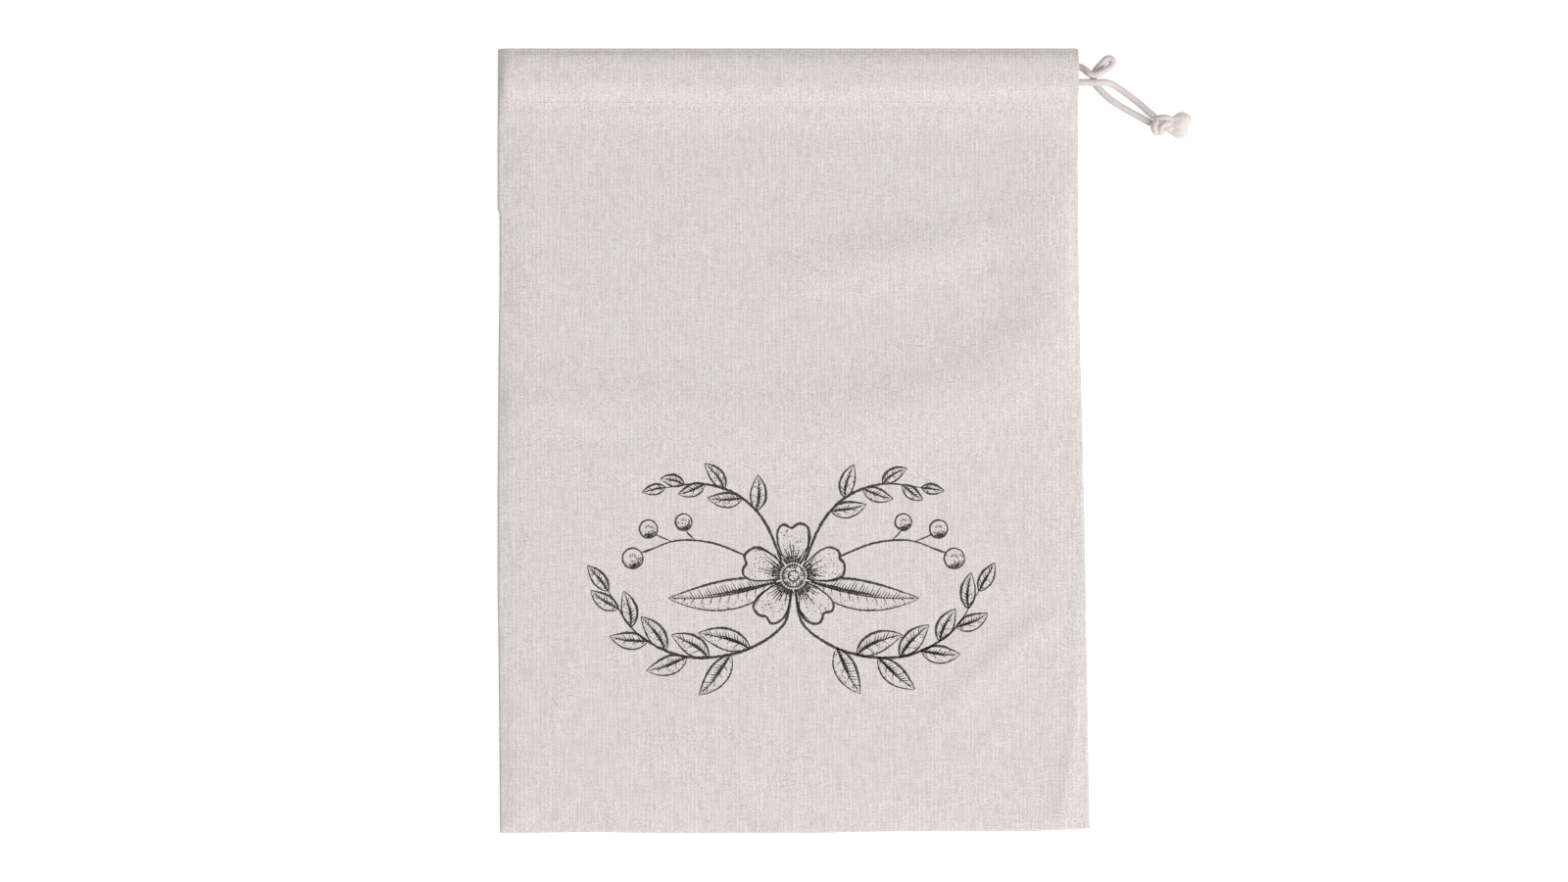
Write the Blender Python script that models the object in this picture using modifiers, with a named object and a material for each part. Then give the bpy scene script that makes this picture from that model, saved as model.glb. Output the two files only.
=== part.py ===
# Flat drawstring bread bag: two cloth panels sewn at the sides and the bottom,
# a hem at the mouth that holds a cotton drawcord, the cord's two ends outside on the right,
# a small bight, an overhand knot and two frayed ends.
# The bag lies on its back on the floor, +Y towards the mouth, +Z up. Lengths are metres.

from collections import namedtuple
from math import cos, exp, hypot, pi, sin, sqrt

import bmesh
import bpy
import numpy as np
from mathutils import Euler, Matrix, Vector

MM = 0.001

# Driving dimensions
CLOTH = 1.0 * MM
GAP = 0.3 * MM
CORD = 3.5 * MM
BAG_TOP = 200.1 * MM
HEM_DEPTH = 29.6 * MM
FRONT_RUN_Y = 182.5 * MM
BACK_RUN_Y = 190.5 * MM
RUN_WANDER = 0.9 * MM
WANDER_WAVES = 1.5
WANDER_FADE = 40.0 * MM
RUN_POINTS = 26
HEM_SHORT_AT_LEFT = 11.0 * MM
TURN_IN_FROM_LEFT = 8.6 * MM
MOUTH_X = 145.1 * MM
AIR = 0.9 * MM
SEAM_PAD = 0.8 * MM
SEAM_PAD_IN = 5.0 * MM
SEAM_PAD_SPREAD = 3.0 * MM
EDGE_RISE = 18.0 * MM
CASING_EDGE = 6.0 * MM
CASING_FADE = 14.0 * MM
SLIT_FADE = 10.0 * MM
NOSE_STEPS = 4

# Heights of the middle of each layer, from the floor up
LAYER = CLOTH + GAP
BACK_REST = CLOTH / 2
FRONT_REST = BACK_REST + LAYER
STITCH_Y = BAG_TOP - HEM_DEPTH
CASING_LIFT = CORD + GAP
BACK_RUN_Z = CLOTH + GAP + CORD / 2

Edge = namedtuple("Edge", "along out")
LEFT_EDGE = [
    Edge(along=200.1, out=-150.65),
    Edge(along=150.0, out=-150.9),
    Edge(along=118.4, out=-150.9),
    Edge(along=116.4, out=-149.9),
    Edge(along=75.0, out=-149.9),
    Edge(along=45.0, out=-150.4),
    Edge(along=-25.0, out=-150.9),
    Edge(along=-75.0, out=-150.9),
    Edge(along=-105.0, out=-150.4),
    Edge(along=-165.0, out=-149.9),
    Edge(along=-200.1, out=-149.6),
]
RIGHT_EDGE = [
    Edge(along=200.1, out=145.1),
    Edge(along=112.0, out=145.1),
    Edge(along=75.0, out=145.6),
    Edge(along=45.0, out=146.1),
    Edge(along=15.0, out=147.1),
    Edge(along=-7.5, out=147.6),
    Edge(along=-52.5, out=148.6),
    Edge(along=-105.0, out=149.4),
    Edge(along=-150.0, out=150.1),
    Edge(along=-180.0, out=150.6),
    Edge(along=-200.1, out=151.1),
]
BOTTOM_EDGE = [
    Edge(along=-151.1, out=-200.1),
    Edge(along=-140.0, out=-200.1),
    Edge(along=-105.0, out=-199.6),
    Edge(along=-70.0, out=-200.1),
    Edge(along=10.5, out=-200.1),
    Edge(along=30.0, out=-199.6),
    Edge(along=45.0, out=-199.3),
    Edge(along=120.5, out=-199.1),
    Edge(along=135.0, out=-198.6),
    Edge(along=151.1, out=-197.6),
]

# Soft folds of the front: each is a low ridge along a line of points, in mm
Fold = namedtuple("Fold", "name height spread line")
FOLDS = [
    Fold("shoulder_sweep", 2.0, 16.0, [(146, 95), (116, 42), (66, 14), (0, 4), (-95, 12)]),
    Fold("under_the_hem", 1.3, 10.0, [(138, 118), (95, 101), (36, 95), (-15, 95)]),
    Fold("lower_right", 0.9, 9.0, [(128, -98), (90, -130), (72, -147)]),
    Fold("right_side", 0.7, 7.0, [(140, -95), (142, -130), (137, -170)]),
    Fold("left_side", 0.7, 12.0, [(-132, 60), (-128, 10), (-134, -45)]),
    Fold("low_middle", 0.6, 20.0, [(-105, -175), (-40, -165), (20, -178)]),
]

# Stations across a panel, measured in from each side edge, then even steps between
EDGE_STATIONS = [0.0, 1.5 * MM, 3.2 * MM, 6.0 * MM, 11.0 * MM]
MIDDLE_COLUMNS = 19
STEP_IN_LEFT_EDGE = [116.4 * MM, 118.4 * MM]
FRONT_ROWS_BELOW_STEP = 20
FRONT_ROWS_ABOVE_STEP = 3
BACK_ROWS_BELOW_STEP = 8
BACK_ROWS_ABOVE_STEP = 2

# The hem's section: how far each row is lifted by the back run, and arched over both runs
HemRow = namedtuple("HemRow", "y lift arch moves")
HEM_ROWS = [
    HemRow(y=STITCH_Y, lift=0.0, arch=0.0, moves=0.0),
    HemRow(y=STITCH_Y + 3.6 * MM, lift=0.0, arch=0.36, moves=0.3),
    HemRow(y=FRONT_RUN_Y - 4.2 * MM, lift=0.0, arch=0.80, moves=0.8),
    HemRow(y=FRONT_RUN_Y - 1.0 * MM, lift=0.0, arch=1.0, moves=1.0),
    HemRow(y=FRONT_RUN_Y + 1.0 * MM, lift=0.0, arch=1.0, moves=1.0),
    HemRow(y=BACK_RUN_Y - 1.0 * MM, lift=1.0, arch=1.0, moves=1.0),
    HemRow(y=BACK_RUN_Y + 1.0 * MM, lift=1.0, arch=1.0, moves=1.0),
    HemRow(y=BAG_TOP - 4.4 * MM, lift=0.62, arch=0.82, moves=0.5),
    HemRow(y=BAG_TOP - 1.6 * MM, lift=0.21, arch=0.40, moves=0.0),
]

# The cord outside the bag, in mm: the tail from the back run makes the bight and
# passes under itself and under the tail from the front run
TAIL_BACK_ROUTE = [
    (144.5, 190.5, 3.05),
    (146.6, 190.4, 3.15),
    (148.8, 188.9, 4.2),
    (150.6, 187.0, 5.4),
    (152.8, 186.3, 5.75),
    (155.4, 186.8, 5.6),
    (158.4, 188.6, 3.9),
    (161.2, 190.5, 2.3),
    (163.0, 192.7, 1.8),
    (162.5, 194.5, 1.8),
    (160.3, 195.0, 1.8),
    (158.4, 193.6, 1.8),
    (156.7, 191.7, 1.8),
    (154.7, 189.6, 1.8),
    (153.3, 187.2, 1.8),
    (152.9, 184.9, 1.8),
    (153.7, 182.4, 1.8),
    (156.0, 179.5, 1.8),
    (159.3, 176.2, 1.8),
    (163.3, 172.9, 1.8),
    (168.1, 169.9, 1.8),
    (173.8, 166.7, 1.9),
    (178.6, 163.9, 2.5),
    (182.6, 161.75, 3.4),
]
TAIL_FRONT_ROUTE = [
    (144.5, 182.5, 5.8),
    (148.0, 182.4, 5.8),
    (152.2, 182.4, 5.75),
    (156.6, 182.4, 5.5),
    (160.2, 182.3, 4.2),
    (163.4, 181.3, 2.7),
    (167.6, 178.7, 1.85),
    (172.6, 175.0, 1.8),
    (177.2, 171.3, 2.1),
    (181.4, 167.3, 3.4),
    (183.9, 165.0, 4.4),
]
TAIL_BACK_STEP = 2.1 * MM
TAIL_FRONT_STEP = 4.0 * MM
CURVE_READINGS = 12
TURN_STEPS = 6

KNOT_AT = Vector((187.3, 160.9, 4.3)) * MM
KNOT_CORE = Vector((4.7, 3.9, 3.1)) * MM
Turn = namedtuple("Turn", "shift across cord tilt_x tilt_y tilt_z")
RING_SIDES = 10
RING_STEPS = 20
KNOT_TURNS = [
    Turn(shift=-1.5, across=3.2, cord=1.75, tilt_x=48, tilt_y=12, tilt_z=72),
    Turn(shift=1.2, across=3.0, cord=1.7, tilt_x=-50, tilt_y=8, tilt_z=48),
]

FrayedEnd = namedtuple("FrayedEnd", "name root heading length spread strands")
FRAYED_ENDS = [
    FrayedEnd("cord_end_upper", (192.9, 163.2, 3.4), 28, 8.2, 3.0, 22),
    FrayedEnd("cord_end_lower", (191.9, 158.9, 3.1), -26, 8.2, 3.0, 22),
]
STUB_RADIUS = 1.75 * MM
STUB_LENGTH = 1.6 * MM
STRAND_ROOT = 0.2 * MM
STRAND_TIP = 0.45 * MM
STRAND_DROOP = 0.8 * MM
STRAND_MIDDLE = 0.6
ROOTS_FILL = 0.8
FAN_FLATNESS = 0.75
OUTER_STRANDS_SHORTER = 0.22
UNEVEN_TIPS = 0.06
GOLDEN_TURN = pi * (3 - sqrt(5))

CLOTH_COLOUR = (0.708, 0.651, 0.638, 1.0)
CORD_COLOUR = (0.775, 0.716, 0.686, 1.0)


def smooth(t):
    t = min(max(t, 0.0), 1.0)
    return t * t * (3 - 2 * t)


def read_edge(table, along):
    """The edge's place, in metres, at a place along it."""
    rows = sorted(table)
    return float(np.interp(along / MM, [row.along for row in rows], [row.out for row in rows])) * MM


def wander(x):
    """How far the two runs of cord stray sideways inside the hem."""
    wave = sin(pi * WANDER_WAVES * (x + MOUTH_X) / MOUTH_X)
    return RUN_WANDER * wave * smooth((MOUTH_X - abs(x)) / WANDER_FADE)


def distance_to_line(x, y, line):
    """The distance in mm from a point in mm to a line of points."""
    nearest = 1e9
    for (ax, ay), (bx, by) in zip(line, line[1:]):
        length = (bx - ax) ** 2 + (by - ay) ** 2
        t = min(max(((x - ax) * (bx - ax) + (y - ay) * (by - ay)) / length, 0.0), 1.0)
        nearest = min(nearest, hypot(x - ax - t * (bx - ax), y - ay - t * (by - ay)))
    return nearest


def fold_height(x, y):
    total = 0.0
    for fold in FOLDS:
        away = distance_to_line(x / MM, y / MM, fold.line)
        total += fold.height * MM * exp(-((away / fold.spread) ** 2))
    return total


def hem_heights():
    """Middle heights of the back hem, the front hem and the front's outer layer at each hem row."""
    back = [FRONT_REST + row.lift * CASING_LIFT for row in HEM_ROWS]
    slopes = []
    for low, high, low_row, high_row in zip(back, back[1:], HEM_ROWS, HEM_ROWS[1:]):
        slopes.append((high - low) / (high_row.y - low_row.y))
    front = []
    for i, height in enumerate(back):
        steepest = max(abs(slope) for slope in slopes[max(i - 1, 0) : i + 1])
        front.append(height + LAYER * sqrt(1 + steepest**2))
    stitched = front[0] + LAYER
    arched = max(front) + LAYER + GAP / 2
    outer = [stitched + row.arch * (arched - stitched) for row in HEM_ROWS]
    return back, front, outer


BACK_HEM, FRONT_HEM, OUTER = hem_heights()
UNDER_FRONT_RUN = [height for row, height in zip(HEM_ROWS, FRONT_HEM) if abs(row.y - FRONT_RUN_Y) < CORD / 2]
FRONT_RUN_Z = sum(UNDER_FRONT_RUN) / len(UNDER_FRONT_RUN) + CLOTH / 2 + GAP + CORD / 2


def rounded_edge(distance):
    """0 at a sewn edge, rising like a quarter circle to 1 inside the casing's edge."""
    t = min(max(distance / CASING_EDGE, 0.0), 1.0)
    return sqrt(1 - (1 - t) ** 2)


def closed_by_seams(x, y):
    """How far the front layer may rise near the side seams; the right side is open at the hem."""
    left = rounded_edge(x - read_edge(LEFT_EDGE, y))
    right = rounded_edge(read_edge(RIGHT_EDGE, y) - x)
    is_open = smooth((y - STITCH_Y + SLIT_FADE) / SLIT_FADE)
    return left * (right + (1 - right) * is_open)


def front_height(x, y):
    """Middle height of the front layer below the hem's stitching."""
    side = min(x - read_edge(LEFT_EDGE, y), read_edge(RIGHT_EDGE, y) - x)
    inward = min(side, y - read_edge(BOTTOM_EDGE, x))
    loose = smooth(inward / EDGE_RISE) * (AIR + fold_height(x, y))
    pad = SEAM_PAD * exp(-(((inward - SEAM_PAD_IN) / SEAM_PAD_SPREAD) ** 2))
    pad *= smooth(inward / EDGE_STATIONS[1])
    body = FRONT_REST + loose + pad
    casing = FRONT_REST + (OUTER[0] - FRONT_REST) * closed_by_seams(x, y)
    blend = smooth((y - STITCH_Y + CASING_FADE) / CASING_FADE)
    return body + (casing - body) * blend


def columns(left, right):
    """Places across a panel, close together at the seams."""
    inner_left = left + EDGE_STATIONS[-1]
    inner_right = right - EDGE_STATIONS[-1]
    middle = np.linspace(inner_left, inner_right, MIDDLE_COLUMNS + 1)[1:-1]
    near_left = [left + step for step in EDGE_STATIONS]
    near_right = [right - step for step in reversed(EDGE_STATIONS)]
    return [*near_left, *[float(x) for x in middle], *near_right]


def body_rows(below_step, above_step):
    """Places up a panel from its bottom edge to the hem's stitching."""
    lowest = -BAG_TOP
    first = lowest + EDGE_STATIONS[-1]
    rows = [lowest + step for step in EDGE_STATIONS]
    rows += [float(y) for y in np.linspace(first, STEP_IN_LEFT_EDGE[0], below_step + 1)[1:]]
    above = np.linspace(STEP_IN_LEFT_EDGE[1], STITCH_Y - CASING_FADE, above_step + 1)
    rows += [float(y) for y in above]
    rows += [STITCH_Y - CASING_FADE * 2 / 3, STITCH_Y - CASING_FADE / 3]
    return rows


def body_y(x, row):
    """A body row follows the uneven bottom edge at its low end and is straight at the hem."""
    t = (row + BAG_TOP) / (STITCH_Y + BAG_TOP)
    return row + (read_edge(BOTTOM_EDGE, x) + BAG_TOP) * (1 - t)


def panel_sections(rows, is_front):
    """Each station along the cloth, from the bottom edge over the top fold and down the hem:
    a function of x that gives y and z, and how much of the hem's short left end it has."""
    outer = OUTER if is_front else [BACK_REST] * len(HEM_ROWS)
    inner = FRONT_HEM if is_front else BACK_HEM
    stations = []
    for row in rows:

        def on_body(x, row=row):
            y = body_y(x, row)
            return y, front_height(x, y) if is_front else BACK_REST

        stations.append((on_body, 0.0))
    for hem_row, height in zip(HEM_ROWS, outer):

        def on_outer(x, hem_row=hem_row, height=height):
            y = hem_row.y + hem_row.moves * wander(x)
            if is_front:
                return y, FRONT_REST + (height - FRONT_REST) * closed_by_seams(x, y)
            return y, height

        stations.append((on_outer, 0.0))
    nose_y = HEM_ROWS[-1].y
    middle = (outer[-1] + inner[-1]) / 2
    half = (outer[-1] - inner[-1]) / 2
    for step in range(1, NOSE_STEPS):
        angle = pi * step / NOSE_STEPS

        def on_nose(x, angle=angle):
            z = middle + half * cos(angle)
            if is_front:
                z = FRONT_REST + (z - FRONT_REST) * closed_by_seams(x, nose_y)
            return nose_y + abs(half) * sin(angle), z

        stations.append((on_nose, step / NOSE_STEPS))
    for hem_row, height in reversed(list(zip(HEM_ROWS, inner))):

        def on_hem(x, hem_row=hem_row, height=height):
            return hem_row.y + hem_row.moves * wander(x), height

        stations.append((on_hem, 1.0))
    return stations


def material(name, colour, roughness):
    made = bpy.data.materials.new(name)
    made.use_nodes = True
    shader = made.node_tree.nodes["Principled BSDF"]
    shader.inputs["Base Color"].default_value = colour
    shader.inputs["Roughness"].default_value = roughness
    shader.inputs["Metallic"].default_value = 0.0
    return made


def add_object(name, data, collection, finish):
    made = bpy.data.objects.new(name, data)
    collection.objects.link(made)
    data.materials.append(finish)
    return made


def make_panel(name, rows, is_front, collection, finish):
    """One cloth with its hem: a grid shaped station by station, then given its thickness."""
    stations = panel_sections(rows, is_front)
    across = len(columns(0.0, 1.0)) - 1
    along = len(stations) - 1
    bm = bmesh.new()
    bmesh.ops.create_grid(bm, x_segments=across, y_segments=along, size=1.0)
    for vert in bm.verts:
        column = round((vert.co.x + 1) / 2 * across)
        section, short = stations[round((vert.co.y + 1) / 2 * along)]
        y = section(0.0)[0]
        left = read_edge(LEFT_EDGE, y) + HEM_SHORT_AT_LEFT * short
        x = columns(left, read_edge(RIGHT_EDGE, y))[column]
        vert.co = (x, *section(x))
    mesh = bpy.data.meshes.new(name)
    bm.to_mesh(mesh)
    bm.free()
    mesh.shade_smooth()
    panel = add_object(name, mesh, collection, finish)
    thickness = panel.modifiers.new("cloth_thickness", "SOLIDIFY")
    thickness.thickness = CLOTH
    thickness.offset = 0.0
    return panel


def catmull_rom(points, step):
    """Points read at even steps from a smooth curve through the route's own points."""
    points = [Vector(point) for point in points]
    ends = [2 * points[0] - points[1], *points, 2 * points[-1] - points[-2]]
    fine = []
    for a, b, c, d in zip(ends, ends[1:], ends[2:], ends[3:]):
        for k in range(CURVE_READINGS):
            t = k / CURVE_READINGS
            bend = (2 * a - 5 * b + 4 * c - d) * t**2 + (3 * b - 3 * c + d - a) * t**3
            fine.append((2 * b + (c - a) * t + bend) / 2)
    fine.append(points[-1])
    reach = [0.0]
    for a, b in zip(fine, fine[1:]):
        reach.append(reach[-1] + (b - a).length)
    count = max(2, round(reach[-1] / step))
    return [
        Vector([float(np.interp(reach[-1] * i / count, reach, [p[axis] for p in fine])) for axis in range(3)])
        for i in range(count + 1)
    ]


def make_tube(name, points, radius, collection, finish):
    """A round tube along points, a curve with a bevel and filled caps."""
    curve = bpy.data.curves.new(name, "CURVE")
    curve.dimensions = "3D"
    curve.bevel_depth = radius
    curve.bevel_resolution = 2
    curve.use_fill_caps = True
    spline = curve.splines.new("POLY")
    spline.points.add(len(points) - 1)
    for spot, point in zip(spline.points, points):
        spot.co = (*point, 1.0)
    return add_object(name, curve, collection, finish)


def run_points():
    """The cord inside the hem: along the front, round the left end and back along the back."""
    turn_radius = (BACK_RUN_Y - FRONT_RUN_Y) / 2
    turn_x = read_edge(LEFT_EDGE, BACK_RUN_Y) + TURN_IN_FROM_LEFT
    straight = np.linspace(MOUTH_X - 1.0 * MM, turn_x, RUN_POINTS)
    front = [Vector((x, FRONT_RUN_Y + wander(x), FRONT_RUN_Z)) for x in straight]
    turn = []
    for step in range(1, TURN_STEPS):
        t = step / TURN_STEPS
        angle = pi * t
        y = (FRONT_RUN_Y + BACK_RUN_Y) / 2 - turn_radius * cos(angle)
        z = FRONT_RUN_Z + (BACK_RUN_Z - FRONT_RUN_Z) * smooth(t)
        turn.append(Vector((turn_x - turn_radius * sin(angle), y, z)))
    back = [Vector((x, BACK_RUN_Y + wander(x), BACK_RUN_Z)) for x in reversed(straight)]
    return front + turn + back


def as_mesh(curve):
    """A curve made into a mesh with its caps welded, so that it can be joined to another piece."""
    depsgraph = bpy.context.evaluated_depsgraph_get()
    mesh = bpy.data.meshes.new_from_object(curve.evaluated_get(depsgraph))
    bm = bmesh.new()
    bm.from_mesh(mesh)
    bmesh.ops.remove_doubles(bm, verts=bm.verts, dist=0.01 * MM)
    bm.to_mesh(mesh)
    bm.free()
    made = bpy.data.objects.new(curve.name + "_mesh", mesh)
    made.matrix_world = curve.matrix_world
    bpy.data.objects.remove(curve)
    return made


def join_to(base, other, joiners):
    """Unites another solid with the base by a Boolean; the other goes with the hidden joiners."""
    joiners.objects.link(other)
    other.hide_render = True
    other.display_type = "WIRE"
    union = base.modifiers.new("join_" + other.name, "BOOLEAN")
    union.operation = "UNION"
    union.object = other


def torus_mesh(name, across, thickness):
    """A ring made as a circle of circles, by spinning a small circle round the Z axis."""
    bm = bmesh.new()
    ring = bmesh.ops.create_circle(bm, segments=RING_SIDES, radius=thickness)
    turned = Matrix.Translation((across, 0, 0)) @ Matrix.Rotation(pi / 2, 4, "X")
    bmesh.ops.transform(bm, matrix=turned, verts=ring["verts"])
    edges = list(bm.edges)
    bmesh.ops.spin(
        bm,
        geom=edges,
        cent=(0, 0, 0),
        axis=(0, 0, 1),
        angle=2 * pi,
        steps=RING_STEPS,
        use_merge=True,
    )
    bmesh.ops.recalc_face_normals(bm, faces=bm.faces)
    mesh = bpy.data.meshes.new(name)
    bm.to_mesh(mesh)
    bm.free()
    return mesh


def make_knot(collection, joiners, finish):
    """The overhand knot: a core with two turns of cord round it."""
    bm = bmesh.new()
    bmesh.ops.create_uvsphere(bm, u_segments=16, v_segments=10, radius=1.0)
    bmesh.ops.scale(bm, vec=KNOT_CORE, verts=bm.verts)
    mesh = bpy.data.meshes.new("drawcord_knot")
    bm.to_mesh(mesh)
    bm.free()
    mesh.shade_smooth()
    knot = add_object("drawcord_knot", mesh, collection, finish)
    knot.location = KNOT_AT
    for number, turn in enumerate(KNOT_TURNS):
        ring = bpy.data.objects.new(
            f"knot_turn_{number}", torus_mesh("knot_turn", turn.across * MM, turn.cord * MM)
        )
        tilts = [angle * pi / 180 for angle in (turn.tilt_x, turn.tilt_y, turn.tilt_z)]
        centre = KNOT_AT + Vector((turn.shift * MM, 0.0, 0.0))
        ring.matrix_world = Matrix.Translation(centre) @ Euler(tilts).to_matrix().to_4x4()
        join_to(knot, ring, joiners)
    return knot


def make_frayed_end(end, collection, joiners, finish):
    """A cut end of the cord: a short stub with its yarns opened out like a brush."""
    heading = end.heading * pi / 180
    forward = Vector((cos(heading), sin(heading), 0.0))
    side = Vector((-sin(heading), cos(heading), 0.0))
    up = Vector((0.0, 0.0, 1.0))
    root = Vector(end.root) * MM
    bm = bmesh.new()
    placed = Matrix((side, up, forward)).transposed().to_4x4()
    placed.translation = root + forward * STUB_LENGTH / 2
    bmesh.ops.create_cone(
        bm,
        cap_ends=True,
        segments=12,
        radius1=STUB_RADIUS,
        radius2=STUB_RADIUS,
        depth=STUB_LENGTH,
    )
    mesh = bpy.data.meshes.new(end.name)
    bm.to_mesh(mesh)
    bm.free()
    stub = add_object(end.name, mesh, collection, finish)
    stub.matrix_world = placed
    curve = bpy.data.curves.new(end.name + "_strands", "CURVE")
    curve.dimensions = "3D"
    curve.bevel_depth = 1.0
    curve.bevel_resolution = 0
    curve.use_fill_caps = True
    for number in range(end.strands):
        out = sqrt((number + 0.5) / end.strands)
        turn = number * GOLDEN_TURN
        fan = side * cos(turn) * out + up * sin(turn) * out * FAN_FLATNESS
        length = end.length * MM * (1.0 - OUTER_STRANDS_SHORTER * out - UNEVEN_TIPS * cos(3 * turn))
        widest = end.spread * MM
        stations = (
            (STUB_LENGTH / 2, STUB_RADIUS * ROOTS_FILL, 0.0, STRAND_ROOT),
            (length * STRAND_MIDDLE, (STUB_RADIUS + widest) / 2, 0.4, (STRAND_ROOT + STRAND_TIP) / 2),
            (length, widest, 1.0, STRAND_TIP),
        )
        spline = curve.splines.new("POLY")
        spline.points.add(len(stations) - 1)
        for spot, (along, away, droop, size) in zip(spline.points, stations):
            point = root + forward * along + fan * away - up * STRAND_DROOP * droop
            point.z = max(point.z, size + STRAND_ROOT)
            spot.co = (*point, 1.0)
            spot.radius = size
    strands = bpy.data.objects.new(end.name + "_strands", curve)
    bpy.context.scene.collection.objects.link(strands)
    bpy.context.view_layer.update()
    join_to(stub, as_mesh(strands), joiners)
    return stub


def main():
    for old in list(bpy.data.objects):
        bpy.data.objects.remove(old, do_unlink=True)
    bag = bpy.data.collections.new("bread_bag")
    joiners = bpy.data.collections.new("joiners")
    for collection in (bag, joiners):
        bpy.context.scene.collection.children.link(collection)
    joiners.hide_render = True

    front_cloth = material("front_cloth", CLOTH_COLOUR, 0.9)
    back_cloth = material("back_cloth", CLOTH_COLOUR, 0.9)
    front_rows = body_rows(FRONT_ROWS_BELOW_STEP, FRONT_ROWS_ABOVE_STEP)
    back_rows = body_rows(BACK_ROWS_BELOW_STEP, BACK_ROWS_ABOVE_STEP)
    make_panel("front_panel", front_rows, True, bag, front_cloth)
    make_panel("back_panel", back_rows, False, bag, back_cloth)

    cotton = {
        name: material(name + "_cotton", CORD_COLOUR, 0.95)
        for name in ("run", "tail_front", "tail_back", "knot", "end_upper", "end_lower")
    }
    radius = CORD / 2
    make_tube("drawcord_run", run_points(), radius, bag, cotton["run"])
    tails = (
        ("tail_front", TAIL_FRONT_ROUTE, TAIL_FRONT_STEP),
        ("tail_back", TAIL_BACK_ROUTE, TAIL_BACK_STEP),
    )
    for name, route, step in tails:
        points = catmull_rom([Vector(point) * MM for point in route], step)
        make_tube("drawcord_" + name, points, radius, bag, cotton[name])
    make_knot(bag, joiners, cotton["knot"])
    for end, finish in zip(FRAYED_ENDS, (cotton["end_upper"], cotton["end_lower"])):
        make_frayed_end(end, bag, joiners, finish)


main()
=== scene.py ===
# The looks of a flat drawstring bread bag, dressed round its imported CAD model.
# The bag lies on its back, +Y towards the mouth, +Z up. Lengths are metres; the tables are in mm.

from collections import namedtuple
from functools import partial
from math import cos, exp, hypot, pi, sin, sqrt
from random import Random

import bpy
import numpy as np
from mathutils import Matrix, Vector


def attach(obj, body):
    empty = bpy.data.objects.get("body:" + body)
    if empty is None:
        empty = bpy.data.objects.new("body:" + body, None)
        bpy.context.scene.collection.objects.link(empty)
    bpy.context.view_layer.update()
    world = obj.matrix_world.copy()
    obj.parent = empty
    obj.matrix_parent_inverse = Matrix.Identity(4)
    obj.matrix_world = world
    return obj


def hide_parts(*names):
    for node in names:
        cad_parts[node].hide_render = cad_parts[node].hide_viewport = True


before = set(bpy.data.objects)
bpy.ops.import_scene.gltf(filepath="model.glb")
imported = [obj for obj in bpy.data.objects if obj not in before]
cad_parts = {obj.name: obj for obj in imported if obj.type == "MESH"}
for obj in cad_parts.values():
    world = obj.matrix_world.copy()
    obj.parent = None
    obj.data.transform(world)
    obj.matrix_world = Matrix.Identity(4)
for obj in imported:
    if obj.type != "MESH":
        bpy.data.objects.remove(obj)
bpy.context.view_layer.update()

MM = 0.001


# Camera: straight above the bag, so that 1600 pixels take in 0.8 m
PHOTO_WIDTH = 0.8
FOCAL = 85.0
SENSOR = 36.0
VIEW_CENTRE = (-4.875, -0.125)
CLOTH_LEVEL = 2.0
FARTHEST_SEEN = 20.0


def put_in_scene(name, data):
    made = bpy.data.objects.new(name, data)
    bpy.context.scene.collection.objects.link(made)
    return made


def place_camera():
    camera = bpy.data.cameras.new("camera")
    camera.lens = FOCAL
    camera.sensor_width = SENSOR
    camera.clip_end = FARTHEST_SEEN
    made = put_in_scene("camera", camera)
    distance = PHOTO_WIDTH * FOCAL / SENSOR
    made.location = (VIEW_CENTRE[0] * MM, VIEW_CENTRE[1] * MM, distance + CLOTH_LEVEL * MM)
    bpy.context.scene.camera = made


# Materials

def linear(code):
    """An sRGB hex colour as a linear one."""
    values = []
    for i in (1, 3, 5):
        c = int(code[i : i + 2], 16) / 255
        values.append(c / 12.92 if c <= 0.04045 else ((c + 0.055) / 1.055) ** 2.4)
    return (*values, 1.0)


def add_node(tree, kind, inputs=None, output=0, **settings):
    """Adds a node with its settings and gives one of its outputs; an input is a value or another
    node's output."""
    node = tree.nodes.new("ShaderNode" + kind)
    for name, value in settings.items():
        setattr(node, name, value)
    for key, value in (inputs or {}).items():
        if isinstance(value, bpy.types.NodeSocket):
            tree.links.new(value, node.inputs[key])
        else:
            node.inputs[key].default_value = value
    return node.outputs[output]


def place_in_mm(tree):
    place = add_node(tree, "TexCoord", output="Object")
    return add_node(tree, "VectorMath", {0: place, 1: (1000,) * 3}, operation="MULTIPLY")


def new_material(name, roughness, sheen):
    made = bpy.data.materials.new(name)
    made.use_nodes = True
    shader = made.node_tree.nodes["Principled BSDF"]
    shader.inputs["Roughness"].default_value = roughness
    shader.inputs["Sheen Weight"].default_value = sheen
    shader.inputs["Sheen Roughness"].default_value = 0.6
    shader.inputs["Specular IOR Level"].default_value = 0.25
    return made, made.node_tree, shader


def colour_and_raise(tree, shader, tone, colours, relief, strength, depth):
    """Gives a finish its two colours, mixed by a tone, and its relief, of a depth in mm."""
    dark, light = map(linear, colours)
    colour = add_node(tree, "Mix", {0: tone, 6: dark, 7: light}, 2, data_type="RGBA")
    bump = add_node(tree, "Bump", {"Height": relief, "Strength": strength, "Distance": depth * MM})
    tree.links.new(colour, shader.inputs["Base Color"])
    tree.links.new(bump, shader.inputs["Normal"])


WARP_SPACING = 0.7
WEFT_SPACING = 0.66
FULL_WARP_SPACING = 2.07
THREAD_STRAY = 0.45
STRAYS_PER_MM = 0.35

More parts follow.
